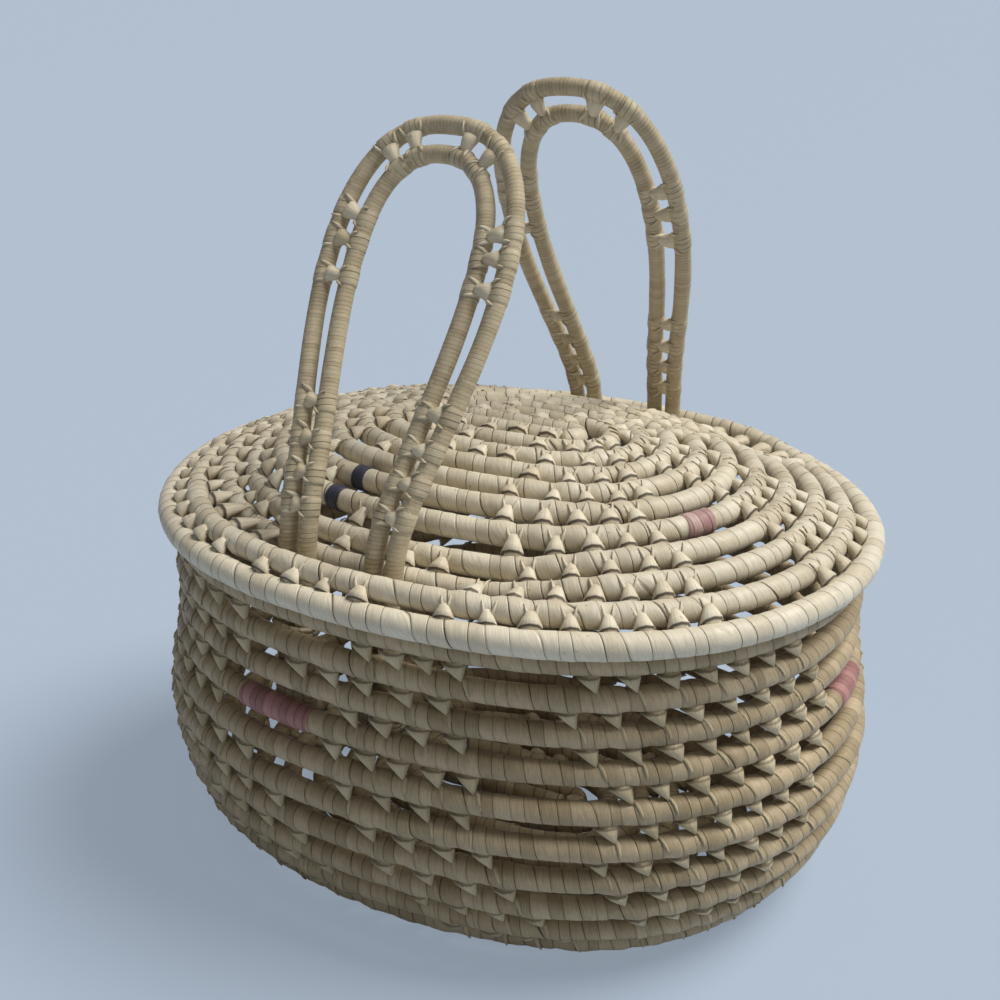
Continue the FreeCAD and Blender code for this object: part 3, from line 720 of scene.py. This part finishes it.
def bands(name, centres, ways, body):
    """Windings of a cane under its ties: a circle carried along a straight bit, a little thicker
    than the cane, with ends that go down into it."""
    ways = unit(ways)
    side = unit(np.cross(ways, UP + 0.01))
    over = np.cross(side, ways)
    place = 4.4 * np.array([-1.0, -0.86, -0.3, 0.3, 0.86, 1.0])
    size = ROD_R + np.array([-0.2, 0.2, 0.24, 0.24, 0.2, -0.2])
    around = 12
    angle = TAU * np.arange(around) / around
    circle = (np.cos(angle)[None, :, None] * side[:, None]
              + np.sin(angle)[None, :, None] * over[:, None])
    centre = centres[:, None] + ways[:, None] * place[None, :, None]
    verts = centre[:, :, None] + circle[:, None] * size[None, :, None, None]
    faces, marks = grid_faces(len(centres), len(place), around, False)
    share = marks[:, 2] / around
    uvs = np.stack([marks[:, 0] * 7.0 + 0.9 * marks[:, 1] + share, share], 1)
    put_mesh(name, verts.reshape(-1, 3), faces, uvs, HANDLE_BAND, body, "handle_leaf", [])


def row_stitches(name, node, rows, rows_used, low_r, seed, cone):
    """Stitches of one or several gaps between neighbouring rows."""
    table = LID_STITCHES if rows is LID else BODY_STITCHES
    lows, ways, highs = [], [], []
    for row in rows_used:
        if len(table[row]):
            low, way = on_row(rows, row, table[row], row > 0)
            lows.append(low)
            ways.append(way)
            highs.append(on_row(rows, row + 1, table[row])[0])
    low = np.concatenate(lows)
    out = unit(low * [1, 1, 0])
    if rows is LID:
        out = out * 0.35 + UP
    else:
        out = out - 0.6 * UP * (low[:, 2:3] < 40)
    stitches(name, node, low, np.concatenate(ways), np.concatenate(highs), low_r, out, seed, **cone)


for row in range(len(LID) - 1):
    row_stitches("lid_stitches_%02d" % (row + 1), "lid_knots_row_%02d" % (row + 1), LID, [row],
                 RIM_R if row == 0 else COIL_R, 40 + row,
                 {**LID_CONE, "strands": (-2.4, 2.8), "over": 0.45, "wide": 4.1})
for row in range(WALL_ROWS - 1):
    row_stitches("wall_stitches_%02d" % (row + 1), "wall_knots_row_%02d" % (row + 1), BODY, [row],
                 COIL_R, 60 + row, WALL_CONE)
row_stitches("base_stitches", "base_knots", BODY, range(WALL_ROWS - 1, len(BODY) - 1), COIL_R, 80,
             WALL_CONE)

# Stitches from the lid's innermost row to its core
core_count = round(2 * CORE_HALF / KNOT_STEP)
core_x = 2 * CORE_HALF * ((np.arange(core_count) + 0.5) / core_count - 0.5)
lows, highs = [], []
inner_row = row_points(LID, len(LID) - 1, np.linspace(1, RUNS + 1, 400))
for side in (-1, 1):
    half = inner_row[inner_row[:, 1] * side > 0]
    half = half[np.argsort(half[:, 0])]
    y, z = (np.interp(core_x, half[:, 0], half[:, i]) for i in (1, 2))
    lows.append(np.stack([core_x, y, z], 1))
    highs.append(np.stack([core_x, 0 * core_x + side * CORE_Y, 0 * core_x + RIM_Z + LID_RISE], 1))
ways = np.tile([1.0, 0, 0], (2 * core_count, 1))
stitches("lid_core_stitches", "lid_core_knots", np.concatenate(lows), ways, np.concatenate(highs),
         COIL_R, np.tile(UP, (2 * core_count, 1)), 90, **LID_CONE, strands=(-1.6, 1.8), over=0.5,
         wide=4.4)


# Dyed leaf wound over single stretches of coil

for label, (rows, row, degrees, share) in DYED.items():
    first, last = dyed_span(degrees, share)
    station = np.linspace(first, last, 60)
    points = row_points(rows, row + stepped(station), station)
    navy = "navy" in label
    # The wall's pink wraps take the pink leaf painted darker as shade.
    material = NAVY_LEAF if navy else LID_PINK if rows is LID else SHADED_WALL_PINK
    tube(label.replace("wrap", "winding"), points, COIL_R + 0.62, 4.4, 30 + row, material,
         "lid" if rows is LID else "basket", "navy_leaf" if navy else "pink_leaf", [label])


# Handles

def hinge_of(name):
    """Middle of a handle's hinge, its line along +X, and the way in over the lid."""
    side = HANDLE[name]["side"]
    for joint in frame["joints"]:
        if joint["name"] == name + "_handle_swing":
            line = np.array(joint["axis"], float) * -side
            return np.array(joint["pos_m"]) * 1000, line, np.cross(UP, line) * -side
    raise RuntimeError("no hinge for " + name)


REACH_UP = (LID[1][1] + SLOT_RAISE + LID[2][1] - SLOT_DIP) / 2 - TOP_Z    # slot over the hinge
TIE_SPOTS = {
    -1: [0.17, 0.27, 0.38, 0.5, 0.93, 1.08, 1.22, 1.62, 1.8],
    1: [0.2, 0.31, 0.42, 0.54, 0.95, 1.08, 1.2, 1.66, 1.86],
}


def foot_of(inner):
    """Distance of a cane's foot from the handle's middle."""
    return FOOT_HALF - (FOOT_SPACING if inner else 0.0)


def arch(name, inner, spot, leg):
    """Rod of a handle: the slot's path while the lid lifts, then straight on, as one half of a
    flared arch with a rounded crown that slants along the basket. Spot runs 0 to 1 up the leg
    and 1 to 2 round the crown."""
    handle = HANDLE[name]
    hinge, line, inward_way = hinge_of(name)
    less = ROD_SPACING if inner else 0.0
    tall, wide, foot = handle["tall"] - less, WIDE_HALF - less, foot_of(inner)
    level = np.where(spot <= 1, spot * WIDE_LEVEL,
                     WIDE_LEVEL + (tall - WIDE_LEVEL) * np.sin((spot - 1) * math.pi / 2))
    flare = foot + (wide - foot) * eased(np.clip(level / WIDE_LEVEL, 0, 1))
    part = np.clip((level - WIDE_LEVEL) / (tall - WIDE_LEVEL), 0, 1)
    crown = wide * (1 - part ** ARCH_POWER) ** (1 / ARCH_POWER)
    half = np.where(level <= WIDE_LEVEL, flare, crown)
    rate, reach = handle["swing"], handle["reach"]
    lift = np.minimum(level, LID_LIFT)
    angle = rate * lift
    inward = reach * np.cos(angle) + (lift + REACH_UP) * np.sin(angle)
    up = (lift + REACH_UP) * np.cos(angle) - reach * np.sin(angle)
    lean = angle + np.arctan2((lift + REACH_UP) * rate, 1 - reach * rate)
    extra = np.maximum(level - lift, 0)
    inward, up = inward + extra * np.sin(lean), up + extra * np.cos(lean)
    sideways = leg * half + handle["slant"] * extra
    return hinge + line * sideways[:, None] + inward_way * inward[:, None] + UP * up[:, None]


def cane(name, inner, seed):
    """One wound cane from foot to foot, a little thicker at its ties."""
    hinge, line, inward_way = hinge_of(name)
    spot = np.concatenate([np.linspace(0, 1, 150), np.linspace(1, 2, 400)[1:]])
    feet = [hinge + line * leg * foot_of(inner) for leg in (-1, 1)]
    points = np.concatenate([[feet[0]], arch(name, inner, spot, -1.0),
                             arch(name, inner, spot[:-1], 1.0)[::-1], [feet[1]]])
    distance = evenly(points, 1.0)[2]
    swells = []
    for leg, spots in TIE_SPOTS.items():
        for at in spots:
            index = np.argmin(np.abs(spot - at))
            index = index + 1 if leg < 0 else len(points) - 2 - index
            swells.append((distance[index], 0.1, 4.0))
    label = "%s_%s_" % (name, "inner" if inner else "outer")
    tube(label + "cane", points, ROD_R, 1.7, seed, HANDLE_LEAF, name + "_handle", "handle_leaf",
         [label + "rod"], swell=swells, around=14, step=1.1, top=inward_way, lap_height=0.05)


def ties(name, seed):
    """Bows between the two canes, and the windings of both canes under them."""
    lows, highs, ways = [], [], []
    for leg, spots in TIE_SPOTS.items():
        spots = np.array(spots)
        low = arch(name, False, spots, float(leg))
        lows.append(low)
        highs.append(arch(name, True, spots, float(leg)))
        ways.append(unit(arch(name, False, spots + 0.02, float(leg)) - low))
    low, high, way = np.concatenate(lows), np.concatenate(highs), np.concatenate(ways)
    facing = hinge_of(name)[2] * HANDLE[name]["side"]
    bows(name + "_bow_ties", name + "_handle_ties", low, high, way,
         np.tile(facing, (len(low), 1)), name + "_handle", seed)
    bands(name + "_tie_windings", np.concatenate([low, high]), np.concatenate([way, way]),
          name + "_handle")


def tails(name):
    """Ends of the canes inside the wall: straight lengths under the top coil, and two lashings
    of three turns on each pair, every turn a rounded oblong."""
    hinge, line, inward_way = hinge_of(name)
    tilt = math.atan2(HANDLE[name]["reach"], REACH_UP)
    top_z = TOP_Z - ROD_R * CORNER * math.sin(tilt) - 0.4
    nodes = [name + "_handle_tails"]
    for leg, leg_word in ((-1, "left"), (1, "right")):
        for inner in (False, True):
            spot = hinge + line * leg * foot_of(inner)
            z = np.linspace(top_z - TAIL_LONG, top_z, 50)
            points = np.stack([np.full_like(z, spot[0]), np.full_like(z, spot[1]), z], 1)
            tube("%s_tail_%s_%s" % (name, leg_word, "inner" if inner else "outer"), points, ROD_R,
                 3.6, 140 + leg + inner, HANDLE_LEAF, "basket", "handle_leaf", nodes, around=14,
                 top=inward_way)
            nodes = []
        middle = hinge + line * leg * (FOOT_HALF - FOOT_SPACING / 2)
        for share in (0.25, 0.75):
            turn = np.linspace(0, TAU, 81)
            wide, deep = FOOT_SPACING / 2 + ROD_R + 0.9, ROD_R + 0.9
            power = np.abs(np.cos(turn)) ** 0.75 * np.sign(np.cos(turn))
            points = (middle * [1, 1, 0] + UP * (top_z - TAIL_LONG * share)
                      + line * (wide * power)[:, None] + inward_way * (deep * np.sin(turn))[:, None])
            for fold in (-2.1, 0.0, 2.1):
                word = "%s_lashing_%s_%d_%d" % (name, leg_word, round(share * 100),
                                                round(fold * 10) + 30)
                tube(word, points + UP * fold, 1.2, 5.0, 150, HANDLE_STITCH, "basket",
                     "handle_leaf", [], ring=True, around=8, step=1.6)


for number, name in enumerate(HANDLE):
    for inner in (False, True):
        cane(name, inner, 100 + 7 * number + inner)
    ties(name, 120 + number)
    tails(name)


# Stage

PALE_BLUE = (0.43, 0.51, 0.62)
FLOOR_HALF = 30                # metres
EVEN_SHARE = 0.55


def seen_straight(tree, lit, own, share, output):
    """Mix in a shader of its own even colour, by the share given, for what the camera sees
    straight; all other rays see the lit one."""
    path = tree.nodes.new("ShaderNodeLightPath")
    part = tree.nodes.new("ShaderNodeMath")
    part.operation = "MULTIPLY"
    part.inputs[1].default_value = share
    both = tree.nodes.new("ShaderNodeMixShader")
    own.inputs[0].default_value = (*PALE_BLUE, 1)
    tree.links.new(path.outputs["Is Camera Ray"], part.inputs[0])
    tree.links.new(part.outputs[0], both.inputs[0])
    tree.links.new(lit.outputs[0], both.inputs[1])
    tree.links.new(own.outputs[0], both.inputs[2])
    tree.links.new(both.outputs[0], tree.nodes[output].inputs["Surface"])


def placed(data, across, above, back, spot):
    """Object that looks away from back, with its own axes across and above."""
    holder = bpy.data.objects.new(data.name, data)
    bpy.context.scene.collection.objects.link(holder)
    columns = [[*axis, 0] for axis in (across, above, back)] + [[*spot, 1]]
    holder.matrix_world = Matrix(np.array(columns).T.tolist())
    return holder


def lamp(name, way, watts, width, colour):
    """Far soft lamp whose light comes from the way given, as wide as the angle given."""
    light = bpy.data.lights.new(name, "SUN")
    light.energy = watts
    light.angle = width
    light.color = colour
    back = np.array(way) / np.linalg.norm(way)
    across = np.cross(UP, back)
    across /= np.linalg.norm(across)
    placed(light, across, np.cross(back, across), back, (0, 0, 1))


floor_look = bpy.data.materials.new("pale_floor")
floor_look.use_nodes = True
tree = floor_look.node_tree
lit_floor = tree.nodes["Principled BSDF"]
lit_floor.inputs["Base Color"].default_value = (*PALE_BLUE, 1)
lit_floor.inputs["Roughness"].default_value = 0.8
seen_straight(tree, lit_floor, tree.nodes.new("ShaderNodeEmission"), EVEN_SHARE, "Material Output")
floor_mesh = bpy.data.meshes.new("floor")
corners = [(x * FLOOR_HALF, y * FLOOR_HALF, 0) for x, y in ((-1, -1), (1, -1), (1, 1), (-1, 1))]
floor_mesh.from_pydata(corners, [], [(0, 1, 2, 3)])
floor_mesh.materials.append(floor_look)
floor = bpy.data.objects.new("floor", floor_mesh)
floor.location = (0, 0, CAD_BOX[0][2] - 0.0004)
bpy.context.scene.collection.objects.link(floor)

world = bpy.data.worlds.new("studio")
bpy.context.scene.world = world
world.use_nodes = True
tree = world.node_tree
lit_air = tree.nodes["Background"]
lit_air.inputs[0].default_value = (0.92, 0.94, 0.98, 1)
lit_air.inputs[1].default_value = 0.15
seen_straight(tree, lit_air, tree.nodes.new("ShaderNodeBackground"), 1.0, "World Output")

lamp("high_lamp", (0.52, 0.32, 0.95), 3.5, 0.6, (1.0, 0.985, 0.95))
lamp("front_lamp", (0.6, -0.9, 0.55), 0.16, 1.2, (1.0, 0.98, 0.95))

bpy.context.scene.view_settings.view_transform = "Standard"

# Camera at the photograph's viewing angle
eye = np.array([255.04, -537.39, 406.11]) * 0.001
aim = np.array([-4.74, -4.77, 162.7]) * 0.001
roll = math.radians(0.46)
back = (eye - aim) / np.linalg.norm(eye - aim)
right = np.cross(UP, back)
right /= np.linalg.norm(right)
above = np.cross(back, right)
lens = bpy.data.cameras.new("camera")
lens.lens = 49.4
lens.sensor_width = 36.0
lens.clip_start = 0.01
bpy.context.scene.camera = placed(lens, right * math.cos(roll) + above * math.sin(roll),
                                  above * math.cos(roll) - right * math.sin(roll), back, eye)
